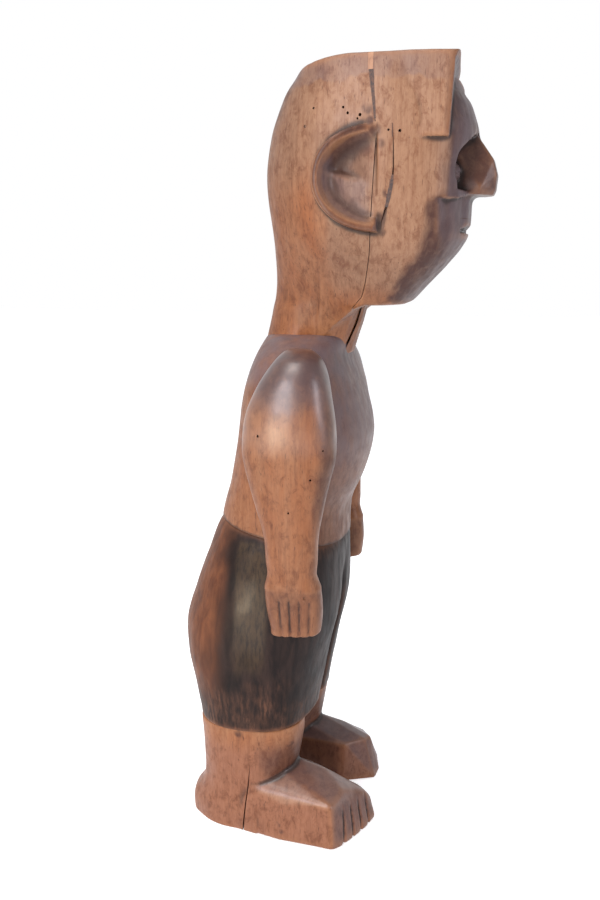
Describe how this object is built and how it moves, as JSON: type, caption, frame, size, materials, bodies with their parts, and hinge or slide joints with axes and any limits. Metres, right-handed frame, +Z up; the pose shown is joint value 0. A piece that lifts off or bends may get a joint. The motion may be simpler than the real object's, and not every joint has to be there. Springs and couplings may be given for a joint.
{
  "type": "carved wooden figure",
  "caption": "Standing carved wooden figure with a flat-topped head, cupped ears, arms held straight down, dark stained knee-length shorts and large bare feet.",
  "frame": {"origin": "on the floor under the middle of the figure's box", "axes": "+Z up, the face looks along -Y, +X is the figure's own left side"},
  "size_m": [0.108, 0.1109, 0.28],
  "materials": {
    "carved_wood": "hand-rubbed satin polish over fine straight grain",
    "dark_patina": "dark red-brown handled patina, satin",
    "stained_wood": "worn black-brown stain with the wood showing through",
    "new_wood": "pale newer wood, plain",
    "filler": "dark matt wood-dust filler"
  },
  "bodies": {
    "root": {"cranium": "carved_wood", "face": "carved_wood", "nose": "dark_patina", "lips": "dark_patina", "right_eye": "dark_patina", "left_eye": "dark_patina", "right_ear": "carved_wood", "left_ear": "carved_wood", "crown_slip": "new_wood", "seam_filler": "filler", "neck": "carved_wood", "torso": "carved_wood", "right_arm": "carved_wood", "left_arm": "carved_wood", "right_hand": "carved_wood", "left_hand": "carved_wood", "shorts": "stained_wood", "right_leg": "carved_wood", "left_leg": "carved_wood", "right_foot": "carved_wood", "left_foot": "carved_wood"}
  },
  "joints": []
}
